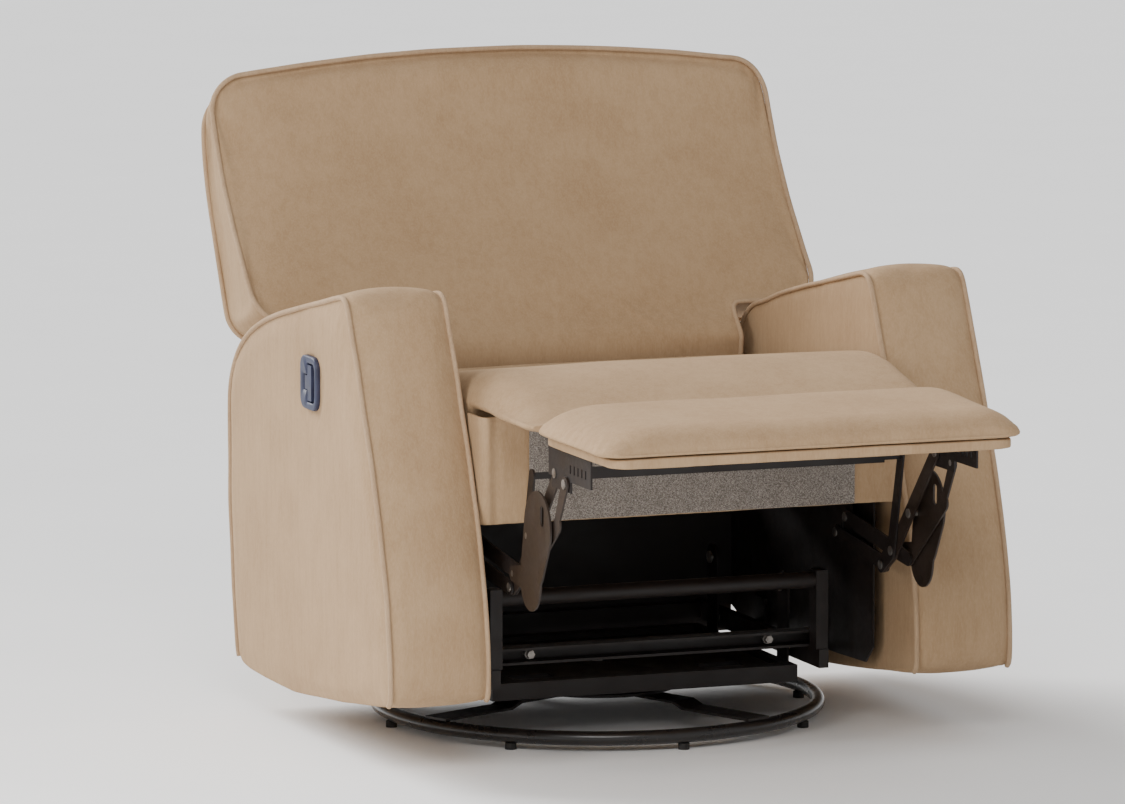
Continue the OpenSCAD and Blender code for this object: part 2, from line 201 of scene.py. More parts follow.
def tube(name, path, radius, sides=10):
    """A round tube along an open path, closed by a cap at each end."""
    ahead = np.gradient(path, axis=0)
    ahead /= np.linalg.norm(ahead, axis=1)[:, None]
    turn = np.linspace(0, 2 * math.pi, sides, endpoint=False)[:, None]
    across = np.cross(ahead[0], [0.3, 0.5, 0.8])
    rings = []
    for p, t in zip(path, ahead):
        across = across - t * (across @ t)
        across /= np.linalg.norm(across)
        other = np.cross(t, across)
        rings.append(p + radius * (np.cos(turn) * across + np.sin(turn) * other))
    verts = np.vstack(rings)
    last = len(verts) - sides
    faces = []
    for row in range(0, last, sides):
        for i in range(sides):
            j = (i + 1) % sides
            faces.append((row + i, row + j, row + sides + j, row + sides + i))
    faces.append(tuple(range(sides))[::-1])
    faces.append(tuple(range(last, len(verts))))
    return new_mesh(name, verts, faces)


def apply_modifiers(piece):
    """Replaces a piece's mesh by the result of its modifiers."""
    dg = bpy.context.evaluated_depsgraph_get()
    dg.update()
    mesh = bpy.data.meshes.new_from_object(piece.evaluated_get(dg))
    piece.modifiers.clear()
    old = piece.data
    piece.data = mesh
    bpy.data.meshes.remove(old)
    piece.data.shade_smooth()


def subdivide(piece):
    """One level of smooth subdivision, applied."""
    mod = piece.modifiers.new("smooth", "SUBSURF")
    mod.levels = mod.render_levels = 1
    apply_modifiers(piece)


def cut_pocket(piece, place, size):
    """Cuts a box out of a closed mesh."""
    x, y, z = (0.5 * s for s in size)
    corners = [(a * x, b * y, c * z) for a in (-1, 1) for b in (-1, 1) for c in (-1, 1)]
    faces = [(0, 1, 3, 2), (4, 6, 7, 5), (0, 4, 5, 1), (2, 3, 7, 6), (0, 2, 6, 4), (1, 5, 7, 3)]
    box = new_mesh("pocket_tool", np.array(corners) + place, faces)
    mod = piece.modifiers.new("pocket", "BOOLEAN")
    mod.operation = "DIFFERENCE"
    mod.object = box
    apply_modifiers(piece)
    bpy.data.objects.remove(box)


CLOTH_FRAMES = 20       # long enough for a cover to fill out
CLOTH_STIFFNESS = 18.0


def inflate(piece, pins, pressure, cap):
    """Blows the cloth skin out against its pinned seams, and keeps each point within cap.

    A pin of 1 holds its point, and a smaller one lets it give.
    """
    start = coords(piece)
    group = piece.vertex_groups.new(name="seams")
    for weight in np.unique(np.round(pins, 2)):
        if weight > 0:
            where = np.nonzero(np.round(pins, 2) == weight)[0]
            group.add([int(i) for i in where], float(weight), "REPLACE")
    cloth = piece.modifiers.new("cloth", "CLOTH")
    settings = cloth.settings
    settings.quality = 4
    settings.mass = 0.25
    settings.tension_stiffness = CLOTH_STIFFNESS
    settings.compression_stiffness = CLOTH_STIFFNESS
    settings.shear_stiffness = CLOTH_STIFFNESS / 3
    settings.bending_stiffness = 0.4
    settings.use_pressure = True
    settings.uniform_pressure_force = pressure
    settings.vertex_group_mass = "seams"
    settings.effector_weights.gravity = 0
    cloth.collision_settings.use_collision = False
    cloth.point_cache.frame_start = 1
    cloth.point_cache.frame_end = CLOTH_FRAMES
    scene = bpy.context.scene
    for step in range(1, CLOTH_FRAMES + 1):
        scene.frame_set(step)
    dg = bpy.context.evaluated_depsgraph_get()
    blown = np.array([v.co for v in piece.evaluated_get(dg).data.vertices])
    piece.modifiers.clear()
    piece.vertex_groups.clear()
    scene.frame_set(1)
    move = blown - start
    far = np.linalg.norm(move, axis=1)
    set_coords(piece, start + move * (np.minimum(far, cap) / np.maximum(far, 1e-9))[:, None])


# ---------------------------------------------------------------- materials


class Shader:
    """Builds a node material around one Principled BSDF, in object coordinates."""

    def __init__(self, name, **values):
        self.material = bpy.data.materials.new(name)
        self.material.use_nodes = True
        self.tree = self.material.node_tree
        self.shader = self.tree.nodes["Principled BSDF"]
        for socket, value in values.items():
            self.shader.inputs[socket.replace("_", " ")].default_value = value
        self.place = self.tree.nodes.new("ShaderNodeTexCoord").outputs["Object"]

    def link(self, out, into):
        """Joins two sockets."""
        self.tree.links.new(out, into)

    def stretched(self, factors):
        """Object coordinates with each axis multiplied."""
        node = self.tree.nodes.new("ShaderNodeMapping")
        node.inputs["Scale"].default_value = factors
        self.link(self.place, node.inputs["Vector"])
        return node.outputs["Vector"]

    def noise(self, scale, detail=2.0, rough=0.5, place=None, distortion=0.0):
        """Fractal noise of scale features in each metre."""
        node = self.tree.nodes.new("ShaderNodeTexNoise")
        node.inputs["Scale"].default_value = scale
        node.inputs["Detail"].default_value = detail
        node.inputs["Roughness"].default_value = rough
        node.inputs["Distortion"].default_value = distortion
        self.link(place or self.place, node.inputs["Vector"])
        return node.outputs["Fac"]

    def cells(self, scale):
        """Distance from the middle of each cell."""
        node = self.tree.nodes.new("ShaderNodeTexVoronoi")
        node.inputs["Scale"].default_value = scale
        self.link(self.place, node.inputs["Vector"])
        return node.outputs["Distance"]

    def waves(self, scale, distortion, detail, place):
        """Diagonal bands."""
        node = self.tree.nodes.new("ShaderNodeTexWave")
        node.bands_direction = "DIAGONAL"
        node.inputs["Scale"].default_value = scale
        node.inputs["Distortion"].default_value = distortion
        node.inputs["Detail"].default_value = detail
        self.link(place, node.inputs["Vector"])
        return node.outputs["Fac"]

    def ramp(self, fac, *stops):
        """A colour ramp. Each stop is (position, colour)."""
        node = self.tree.nodes.new("ShaderNodeValToRGB")
        ramp = node.color_ramp
        while len(ramp.elements) < len(stops):
            ramp.elements.new(0.5)
        for element, (where, colour) in zip(ramp.elements, stops):
            element.position = where
            element.color = (*colour, 1)
        self.link(fac, node.inputs["Fac"])
        return node.outputs["Color"]

    def remap(self, fac, low, high, from_low=0.0, from_high=1.0):
        """Runs from low to high while fac runs from from_low to from_high."""
        node = self.tree.nodes.new("ShaderNodeMapRange")
        node.inputs["From Min"].default_value = from_low
        node.inputs["From Max"].default_value = from_high
        node.inputs["To Min"].default_value = low
        node.inputs["To Max"].default_value = high
        self.link(fac, node.inputs["Value"])
        return node.outputs["Result"]

    def mix(self, fac, a, b):
        """Blends from a to b. Each is a socket or a plain colour."""
        node = self.tree.nodes.new("ShaderNodeMix")
        node.data_type = "RGBA"
        self.link(fac, node.inputs[0])
        for value, socket in ((a, node.inputs[6]), (b, node.inputs[7])):
            if isinstance(value, tuple):
                socket.default_value = (*value, 1)
            else:
                self.link(value, socket)
        return node.outputs[2]

    def add(self, a, b, weight):
        """a plus b times weight."""
        node = self.tree.nodes.new("ShaderNodeMath")
        node.operation = "MULTIPLY_ADD"
        self.link(b, node.inputs[0])
        node.inputs[1].default_value = weight
        self.link(a, node.inputs[2])
        return node.outputs[0]

    def bump(self, height, strength, distance):
        """Fine relief that follows height, with distance as its depth in metres."""
        node = self.tree.nodes.new("ShaderNodeBump")
        node.inputs["Strength"].default_value = strength
        node.inputs["Distance"].default_value = distance
        self.link(height, node.inputs["Height"])
        self.link(node.outputs["Normal"], self.shader.inputs["Normal"])

    def colour(self, out):
        self.link(out, self.shader.inputs["Base Color"])

    def roughness(self, out):
        self.link(out, self.shader.inputs["Roughness"])


def srgb(r, g, b):
    """A colour given in screen values from 0 to 255."""
    return tuple((v / 255 / 12.92) if v <= 10 else ((v / 255 + 0.055) / 1.055) ** 2.4 for v in (r, g, b))


def make_suede(name, base, dark, light):
    """Brushed microsuede: cloudy nap, faint weave and short streaks where the pile is stroked."""
    s = Shader(name, Roughness=0.92, Sheen_Weight=0.10, Sheen_Roughness=0.5, Specular_IOR_Level=0.25)
    s.shader.inputs["Sheen Tint"].default_value = (*light, 1)
    cloud = s.noise(9.0, detail=3.0, rough=0.5)
    streak = s.noise(90.0, detail=4.0, rough=0.65, place=s.stretched((1.0, 1.0, 0.14)))
    pile = s.noise(1500.0, detail=2.0, rough=0.6)
    weave = s.noise(380.0, detail=1.0, place=s.stretched((1.0, 1.0, 0.3)))
    tone = s.mix(s.remap(cloud, 0.0, 0.26, 0.45, 0.75), base, light)
    tone = s.mix(s.remap(cloud, 0.26, 0.0, 0.25, 0.52), tone, dark)
    tone = s.mix(s.remap(streak, 0.0, 0.22, 0.42, 0.75), tone, light)
    tone = s.mix(s.remap(streak, 0.22, 0.0, 0.25, 0.52), tone, dark)
    tone = s.mix(s.remap(pile, 0.0, 0.36, 0.3, 0.75), tone, dark)
    tone = s.mix(s.remap(weave, 0.0, 0.20, 0.4, 0.7), tone, light)
    s.colour(tone)
    height = s.add(s.add(pile, weave, 0.8), streak, 1.2)
    s.bump(height, 0.40, 0.0007)
    s.roughness(s.remap(cloud, 0.88, 0.98))
    return s.material


def make_felt():
    """Warm grey felt with dark and light fibres; its greys are also darkened, as painted shade for its
    place under the pad.
    """
    s = Shader("grey_felt", Roughness=0.97, Sheen_Weight=0.15)
    fibres = s.noise(620.0, detail=4.0, rough=0.75)
    flecks = s.cells(330.0)
    cloud = s.noise(24.0, detail=3.0)
    # these greys are darker than the felt's own: painted shade under the pad
    tone = s.ramp(
        fibres,
        (0.34, srgb(62, 56, 51)),
        (0.50, srgb(120, 112, 104)),
        (0.66, srgb(176, 169, 161)),
    )
    tone = s.mix(s.remap(flecks, 0.75, 0.0, 0.05, 0.4), tone, srgb(166, 159, 152))
    tone = s.mix(s.remap(cloud, 0.0, 0.25, 0.4, 0.7), tone, srgb(96, 88, 81))
    s.colour(tone)
    s.bump(s.add(fibres, flecks, 0.6), 0.5, 0.0012)
    return s.material


def make_enamel(name, colour, worn, gloss, coat):
    """Dark paint on steel: slight orange peel, dusty patches and rubbed spots."""
    s = Shader(name, Roughness=gloss, Coat_Weight=coat, Coat_Roughness=0.18, Specular_IOR_Level=0.35)
    peel = s.noise(260.0, detail=2.0)
    patches = s.noise(18.0, detail=5.0, rough=0.65, distortion=0.4)
    rubs = s.noise(70.0, detail=6.0, rough=0.75)
    tone = s.ramp(patches, (0.32, colour), (0.62, tuple(1.35 * c for c in colour)))
    tone = s.mix(s.remap(rubs, 0.0, 0.75, 0.66, 0.8), tone, worn)
    s.colour(tone)
    s.roughness(s.remap(patches, gloss - 0.1, gloss + 0.18, 0.3, 0.7))
    s.bump(s.add(peel, rubs, 0.5), 0.16, 0.0006)
    return s.material


def make_zinc():
    """Plated hardware with a faint spangle and darker grime."""
    s = Shader("zinc_hardware", Metallic=1.0, Roughness=0.42)
    spangle = s.cells(190.0)
    grime = s.noise(60.0, detail=5.0, rough=0.7)
    tone = s.ramp(grime, (0.35, srgb(96, 90, 84)), (0.6, srgb(160, 154, 148)))
    s.colour(s.mix(s.remap(spangle, 0.0, 0.3, 0.0, 0.6), tone, srgb(186, 182, 178)))
    s.roughness(s.remap(grime, 0.34, 0.62, 0.3, 0.7))
    s.bump(spangle, 0.12, 0.0003)
    return s.material


def make_wire():
    """Bare spring wire with specks of rust."""
    s = Shader("spring_steel", Metallic=1.0, Roughness=0.35)
    rust = s.noise(90.0, detail=6.0, rough=0.7)
    s.colour(s.ramp(rust, (0.4, srgb(84, 80, 78)), (0.68, srgb(104, 78, 58))))
    s.bump(rust, 0.2, 0.0003)
    return s.material


def make_timber():
    """Sawn softwood, with the grain along Y."""
    s = Shader("timber", Roughness=0.78)
    along = s.stretched((1.0, 0.08, 1.0))
    grain = s.waves(26.0, distortion=9.0, detail=4.0, place=along)
    pores = s.noise(300.0, detail=4.0, rough=0.7, place=s.stretched((1.0, 0.05, 1.0)))
    tone = s.ramp(
        grain,
        (0.15, srgb(196, 158, 110)),
        (0.60, srgb(216, 182, 134)),
        (0.95, srgb(176, 132, 84)),
    )
    s.colour(s.mix(s.remap(pores, 0.0, 0.4, 0.5, 0.75), tone, srgb(140, 100, 62)))
    s.bump(s.add(grain, pores, 0.8), 0.25, 0.0008)
    return s.material


def make_lining():
    """Black non-woven dust cloth, point bonded."""
    s = Shader("black_lining", Roughness=0.95, Sheen_Weight=0.1)
    bonds = s.cells(420.0)
    fibres = s.noise(260.0, detail=5.0, rough=0.75)
    tone = s.ramp(fibres, (0.35, srgb(16, 14, 13)), (0.65, srgb(38, 33, 31)))
    s.colour(s.mix(s.remap(bonds, 0.5, 0.0, 0.0, 0.35), tone, srgb(10, 9, 9)))
    s.bump(s.add(fibres, bonds, 1.2), 0.4, 0.0008)
    return s.material


def make_rubber():
    """Dusty black rubber."""
    s = Shader("rubber_pads", Roughness=0.85)
    dust = s.noise(120.0, detail=5.0, rough=0.7)
    s.colour(s.ramp(dust, (0.4, srgb(20, 19, 19)), (0.7, srgb(52, 49, 47))))
    s.bump(dust, 0.3, 0.0004)
    return s.material


def make_moulding():
    """Navy moulded plastic with a fine spark texture."""
    s = Shader("navy_plastic", Roughness=0.46, Specular_IOR_Level=0.45)
    spark = s.noise(1500.0, detail=2.0)
    handling = s.noise(45.0, detail=4.0, rough=0.6)
    s.colour(s.ramp(handling, (0.35, srgb(34, 38, 60)), (0.68, srgb(48, 53, 78))))
    s.roughness(s.remap(handling, 0.38, 0.58, 0.3, 0.7))
    s.bump(spark, 0.22, 0.0003)
    return s.material


SUEDE = make_suede("suede_fabric", srgb(164, 136, 104), srgb(139, 110, 80), srgb(188, 161, 129))
# the welt's suede is a little lighter than the cover's: painted highlight along the round piping
WELT = make_suede("suede_welt", srgb(168, 141, 112), srgb(142, 114, 86), srgb(194, 169, 140))
FELT = make_felt()
STEEL = make_enamel("black_steel", srgb(24, 18, 16), srgb(62, 49, 40), 0.48, 0.04)
GLOSS = make_enamel("ring_enamel", srgb(27, 24, 23), srgb(70, 62, 58), 0.27, 0.5)
BROWN = make_enamel("bronze_enamel", srgb(38, 29, 23), srgb(84, 66, 50), 0.44, 0.08)
ZINC = make_zinc()
WIRE = make_wire()
TIMBER = make_timber()
LINING = make_lining()
RUBBER = make_rubber()
MOULDING = make_moulding()

SLOT_MATERIALS = {
    "black_steel": STEEL,
    "zinc_hardware": ZINC,
    "rubber_pads": RUBBER,
    "spring_steel": WIRE,
    "timber": TIMBER,
    "suede_fabric": SUEDE,
    "grey_felt": FELT,
    "black_lining": LINING,
    "navy_plastic": MOULDING,
}
# nodes that differ from the rest of their slot
NODE_MATERIALS = {"floor_ring": GLOSS, "lift_links": BROWN, "kidney_plates": BROWN, "front_links": BROWN}


def paint(piece, material):
    """Makes a material the only one of a piece."""
    piece.data.materials.clear()
    piece.data.materials.append(material)


def paint_nodes():
    """Gives every carried-over CAD node its own detailed material."""
    for part in frame["record"]["subparts"]:
        name = part["node"]
        paint(frame["nodes"][name], NODE_MATERIALS.get(name, SLOT_MATERIALS[part["material_slot"]]))


# ---------------------------------------------------------------- camera, light and floor

LENS, SENSOR = 243.9, 36               # in millimetres
CAMERA_PLACE = (-4.313, -11.237, 2.171)
CAMERA_TARGET = (-0.052, 0.020, 0.5015)
SUN_PLACE = (-1.7, 3.0, 2.3)
SUN_POWER, SUN_SPREAD = 4.6, 35        # the spread in degrees
AREA_LIGHTS = (                        # name, place, target, size, watts and colour
    ("key", (-3.2, -1.7, 1.7), (-0.5, 0, 0.5), 1.6, 55, (1.0, 0.98, 0.95)),
    ("fill", (-1.5, -4.2, 3.7), (0, 0.2, 0.7), 2.4, 112, (1.0, 0.99, 0.98)),
)
SKY_STRENGTH = 0.55
FLOOR_HALF = 30.0


def aim(thing, target):
    """Turns a camera or a light towards a point."""
    way = Vector(target) - thing.location
    thing.rotation_euler = way.to_track_quat("-Z", "Y").to_euler()


def make_camera():
    data = bpy.data.cameras.new("camera")
    data.lens = LENS
    data.sensor_width = SENSOR
    data.clip_end = 60
    camera = add_object("camera", data)
    camera.location = CAMERA_PLACE
    aim(camera, CAMERA_TARGET)
    bpy.context.scene.camera = camera


def make_sun():
    """Broad soft light from behind, above the back."""
    data = bpy.data.lights.new("sun", "SUN")
    data.energy = SUN_POWER
    data.angle = math.radians(SUN_SPREAD)
    sun = add_object("sun", data)
    sun.location = SUN_PLACE
    aim(sun, (0, 0, 0))


def area_light(name, place, target, size, watts, colour):
    data = bpy.data.lights.new(name, "AREA")
    data.shape = "DISK"
    data.size = size
    data.energy = watts
    data.color = colour
    light = add_object(name, data)
    light.location = place
    aim(light, target)


def make_sky():
    world = bpy.data.worlds.new("studio")
    world.use_nodes = True
    background = world.node_tree.nodes["Background"]
    background.inputs["Color"].default_value = (1, 1, 1, 1)
    background.inputs["Strength"].default_value = SKY_STRENGTH
    bpy.context.scene.world = world


def make_floor():
    """A wide sheet of near-white paper at z = 0."""
    corners = [(x * FLOOR_HALF, y * FLOOR_HALF, 0) for x, y in ((-1, -1), (1, -1), (1, 1), (-1, 1))]
    floor = new_mesh("floor", corners, [(0, 1, 2, 3)])
    s = Shader("floor_paper", Roughness=0.9)
    s.colour(s.ramp(s.noise(3.0, detail=3.0), (0.3, (0.95, 0.95, 0.95)), (0.7, (0.97, 0.97, 0.97))))
    s.bump(s.noise(240.0), 0.05, 0.0004)
    paint(floor, s.material)


def make_stage():
    make_sun()
    for light in AREA_LIGHTS:
        area_light(*light)
    make_sky()
    make_floor()


# ---------------------------------------------------------------- padding and seams

WELT_R = 0.0042
GROOVE = 0.0026     # depth of the fold where a cover turns in beside a welt


def edge_distance(points, outline):
    """Distance of 2-D points from a closed outline."""
    step = np.roll(outline, -1, 0) - outline
    reach = points[:, None] - outline[None]
    t = np.clip((reach * step).sum(-1) / (step * step).sum(-1), 0, 1)
    return np.linalg.norm(reach - t[..., None] * step, axis=2).min(1)


def puff(distance, reach):
    """Share of the full thickness at a distance from a seam: round at the seam, flat beyond reach."""
    t = np.clip(np.asarray(distance, float) / reach, 0, 1)
    return np.sqrt(1 - (1 - t) ** 2)


def outward(loop):
    """Unit normals of a counter-clockwise 2-D loop."""
    ahead = np.roll(loop, -1, 0) - np.roll(loop, 1, 0)
    normal = np.stack([ahead[:, 1], -ahead[:, 0]], 1)
    return normal / np.linalg.norm(normal, axis=1)[:, None]


def wrinkle(piece, height, seed, share=1.0, fine=95.0):
    """Small uneven creases along the normals. Height is in metres, and share weights each point."""
    points = coords(piece)
    creases = 0.6 * ripple(points, fine, seed) + 0.4 * ripple(points, fine * 2.3, seed + 9)
    slow = ripple(points, 9.0, seed + 4)
    move = height * share * creases + 0.0012 * slow
    set_coords(piece, points + normals(piece) * np.reshape(move, (-1, 1)))


def soft_piece(piece, body, *nodes, fill=None, material=SUEDE):
    """Finish of a fabric piece: material, the CAD nodes it stands for and its body. Fill, for its padding,
    is not used.
    """
    paint(piece, material)
    if nodes:
        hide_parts(*nodes)
    if body:
        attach(piece, body)


def add_welt(name, path, body):
    """A piped seam: piping in its fabric tube, with slight unevenness along its length."""
    sway = np.stack([ripple(path, 14.0, seed) for seed in (1.0, 5.0, 8.0)], 1)
    soft_piece(tube(name, path + 0.0007 * sway, WELT_R), body, material=WELT)


# ---------------------------------------------------------------- arms

ARM_IN, ARM_OUT = 0.3565, 0.5140       # seam lines of an arm, across the chair
ARM_ROOM = (0.3531, 0.5212)            # the cover stays between these, clear of the seat
BEZEL = np.array([-0.113, 0.572])      # middle of the release bezel, as (y, z)
POCKET = (0.062, 0.057, 0.075)         # size of the hole for the latch in the left arm
# rings of a side panel, as shares of the way from its middle to its seam
ARM_RINGS = (0.03, 0.1, 0.2, 0.3, 0.4, 0.5, 0.6, 0.7, 0.78, 0.85, 0.9, 0.935, 0.965, 0.985)


def arm_pins(points, outline, seam, side):
    """Holds the seams, the lower edge and the place of the bezel, and most of the inner panel."""
    across, flat = abs(points[:, 0]), points[:, 1:]
    on_edge = edge_distance(flat, outline) < 0.0008
    pins = np.where(on_edge & (seam < 0.0008), 1.0, 0.0)
    pins[(flat[:, 1] < 0.10) & on_edge] = 1.0
    inner = across < ARM_IN
    pins[inner] = np.maximum(pins[inner], 0.7)
    if side < 0:
        near = np.linalg.norm(flat - BEZEL, axis=1) < 0.06
        pins[near & (across > ARM_OUT)] = 1.0
    return pins


def make_arm(side):
    """One arm: inner and outer panels round a crowned band, with a welt on both edges."""
    name = "right" if side > 0 else "left"
    node = f"{name}_arm_cover"
    outline = soften(resample(convex_outline(node_points(node)[:, 1:]), 260), 2)
    middle = outline.mean(0)
    push = outward(outline)
    y, z = outline.T
    above_hem = smoothstep(0.11, 0.17, z)
    crown = 0.0015 + 0.0085 * above_hem * (1 - smoothstep(0.0, 0.16, y)) + 0.002 * above_hem
    # the inner edge is fuller where the back's wing rests over it
    shoulder = 0.009 * hump(y, 0.225, 0.045) * smoothstep(0.50, 0.56, z)
    plain = np.zeros(len(outline))

    def panel_rings(seam, swell, depth, shares):
        """Rings of a side panel that pillows by depth from its seam to its middle."""
        edge = outline + push * swell[:, None]
        loops = []
        for share in shares:
            flat = middle + (edge - middle) * share
            loops.append(np.column_stack([seam + depth * puff(edge_distance(flat, outline), 0.034), flat]))
        return loops

    loops = panel_rings(ARM_IN, shoulder, -0.003, ARM_RINGS)
    rows = np.concatenate([[0, 0.018, 0.035, 0.055, 0.085], np.linspace(0.14, 0.86, 9),
                           [0.915, 0.945, 0.965, 0.982, 1]])
    for t in rows:
        across = min(t, 1 - t) * (ARM_OUT - ARM_IN)
        lift = crown * (0.7 * puff(across, 0.03) + 0.3 * math.sin(math.pi * t))
        lift = lift - GROOVE * hump(across, 0.0055, 0.0035)
        band = outline + push * (lift + (1 - t) * shoulder)[:, None]
        x = np.full(len(outline), ARM_IN + (ARM_OUT - ARM_IN) * t)
        loops.append(np.column_stack([x, band]))
    loops += panel_rings(ARM_OUT, plain, 0.0045, ARM_RINGS[::-1])
    if side < 0:
        loops = [loop * (-1, 1, 1) for loop in loops[::-1]]
    cover = loft(f"{name}_arm_upholstery", loops)

    points = coords(cover)
    seam = np.minimum(abs(abs(points[:, 0]) - ARM_IN), abs(abs(points[:, 0]) - ARM_OUT))
    inflate(cover, arm_pins(points, outline, seam, side), pressure=3.5, cap=0.004)
    away = edge_distance(coords(cover)[:, 1:], outline) + seam
    wrinkle(cover, 0.0007, seed=side * 3.0, share=np.exp(-away / 0.018))
    subdivide(cover)
    points = coords(cover)
    points[:, 0] = side * np.clip(side * points[:, 0], *ARM_ROOM)
    set_coords(cover, points)
    if side < 0:
        cut_pocket(cover, (-0.519, *BEZEL), POCKET)
    soft_piece(cover, "chassis", node, fill=0.9)

    hem_rear, hem_front = (0.268, 0.078), (-0.456, 0.118)     # where the welts start and stop
    start = nearest(outline, hem_rear)
    stop = nearest(np.roll(outline, -start, 0), hem_front)
    for edge, x, swell in (("inner", ARM_IN - 0.0004, shoulder), ("outer", ARM_OUT + 0.0006, plain)):
        run = np.roll(outline + push * (0.0016 + swell)[:, None], -start, 0)[: stop + 1]
        run = resample(run, 420, closed=False)
        path = np.column_stack([np.full(len(run), side * x), run])
        add_welt(f"{name}_arm_{edge}_welt", path, "chassis")


# ---------------------------------------------------------------- release latch

ARM_FACE = -0.5200                     # x of the arm's outer face round the bezel
BEZEL_Y, BEZEL_Z, BEZEL_R = 0.070, 0.078, 0.016
RAYS = 72                              # points of each ring of the bezel
RIM = (                                # how far a ring stands proud, and how much it is grown
    (-0.0055, 0.0), (-0.005, 0.003), (0.0028, 0.003),
    (0.0050, 0.0026), (0.0060, 0.0015), (0.0063, 0.0),
)
CUP_HALF = np.array([                  # upper half of the cup's outline, from the handle's slot
    (0.0215, 0.0125), (0.0065, 0.0125), (0.0065, 0.0305), (-0.019, 0.0305), (-0.0255, 0.0285),
    (-0.0295, 0.022),
])
CUP = np.vstack([CUP_HALF, [(-0.0305, 0.0)], CUP_HALF[::-1] * (1, -1)])


def moulded_piece(piece, body, node):
    """Finish of a plastic piece: material, the CAD node it stands for and its body."""
    paint(piece, MOULDING)
    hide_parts(node)
    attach(piece, body)


def make_bezel():
    """The rim with a rounded edge, and the finger cup sunk in it."""
    rings = [(-0.0258, cast(CUP * 0.9, RAYS)), (-0.0258, cast(CUP * 1.05, RAYS)),
             (-0.0055, cast(CUP * 1.05, RAYS))]
    for proud, grow in RIM:
        edge = rounded_loop(BEZEL_Y + 2 * grow, BEZEL_Z + 2 * grow, BEZEL_R + grow, 9)
        rings.append((proud, cast(edge, RAYS)))
    for proud, share in ((0.0058, 1.05), (0.0045, 1.01), (-0.022, 1), (-0.024, 0.97), (-0.024, 0.5)):
        rings.append((proud, cast(CUP * share, RAYS)))
    loops = [np.column_stack([np.full(RAYS, ARM_FACE - proud), ring + BEZEL]) for proud, ring in rings]
    moulded_piece(loft("latch_bezel", loops), "chassis", "release_bezel")


def make_handle():
    """The T handle with rounded edges, a little prouder and wider than its CAD solid."""
    source = frame["nodes"]["release_handle"]
    handle = add_object("latch_handle", source.data.copy())
    handle.matrix_world = source.matrix_world.copy()
    points = coords(handle)
    points[:, 0] -= np.where(points[:, 0] < ARM_FACE - 0.0005, 0.0015, 0.0)
    points[:, 1] -= np.where(points[:, 1] < BEZEL[0] - 0.0025, 0.003, 0.0)
    set_coords(handle, points)
    edges = handle.modifiers.new("edges", "BEVEL")
    edges.width = 0.0014
    edges.segments = 3
    edges.limit_method = "ANGLE"
    apply_modifiers(handle)
    moulded_piece(handle, "handle", "release_handle")


# ---------------------------------------------------------------- back

# the back's faces in the side view, from their lower edge up, as (y, z)
BACK_FRONT = np.vstack([
    [(0.262, 0.447), (0.250, 0.452), (0.206, 0.520)],
    bezier((0.200, 0.570), (0.330, 0.700), (0.440, 0.800), (0.497, 0.960), 20),
    [(0.503, 0.992), (0.512, 1.012), (0.520, 1.024)],
])
BACK_REAR = np.vstack([
    [(0.300, 0.440), (0.334, 0.446), (0.372, 0.490)],
    bezier((0.372, 0.490), (0.440, 0.640), (0.552, 0.800), (0.549, 0.905), 20)[1:],
    [(0.548, 0.940), (0.546, 0.970), (0.540, 1.000)],
])
BACK_HEART = np.array([0.0, 0.75])     # the rings of both faces shrink to this point, as (x, z)
# rings of each face, as shares of the way from the heart to the seam
BACK_RINGS = (0.03, 0.1, 0.18, 0.27, 0.36, 0.45, 0.54, 0.63, 0.71, 0.78, 0.84, 0.89, 0.93, 0.955, 0.972,
              0.982, 0.989, 0.995)
# rings of the boxing, as shares of the way from the front seam to the rear one
BOXING = (0, 0.025, 0.05, 0.08, 0.12, 0.2, 0.3, 0.4, 0.5, 0.6, 0.7, 0.8, 0.88, 0.92, 0.95, 0.975, 1)


def back_outline(wing, tail, low, top, bottom):
    """The back seen from the front: a domed slab over the arms, and a tail between them."""
    top_r, low_r, notch = 0.062, 0.045, 0.014
    cx = wing - top_r

    def dome(x):
        return top - x * x / 6.5

    def arc(centre, radius, first, last, count=9):
        turn = np.radians(np.linspace(first, last, count))
        return np.array(centre) + radius * np.stack([np.cos(turn), np.sin(turn)], 1)

    half = np.vstack([
        [(x, dome(x)) for x in np.linspace(0.02, cx, 14)],
        arc((cx, dome(cx) - top_r), top_r, 76, 0),
        arc((wing - low_r, low + low_r), low_r, 0, -90),
        arc((tail + notch, low - notch), notch, 90, 180, 7),
        [(tail, bottom)],
    ])
    return resample(np.vstack([half[::-1], half * (-1, 1)]), 320)


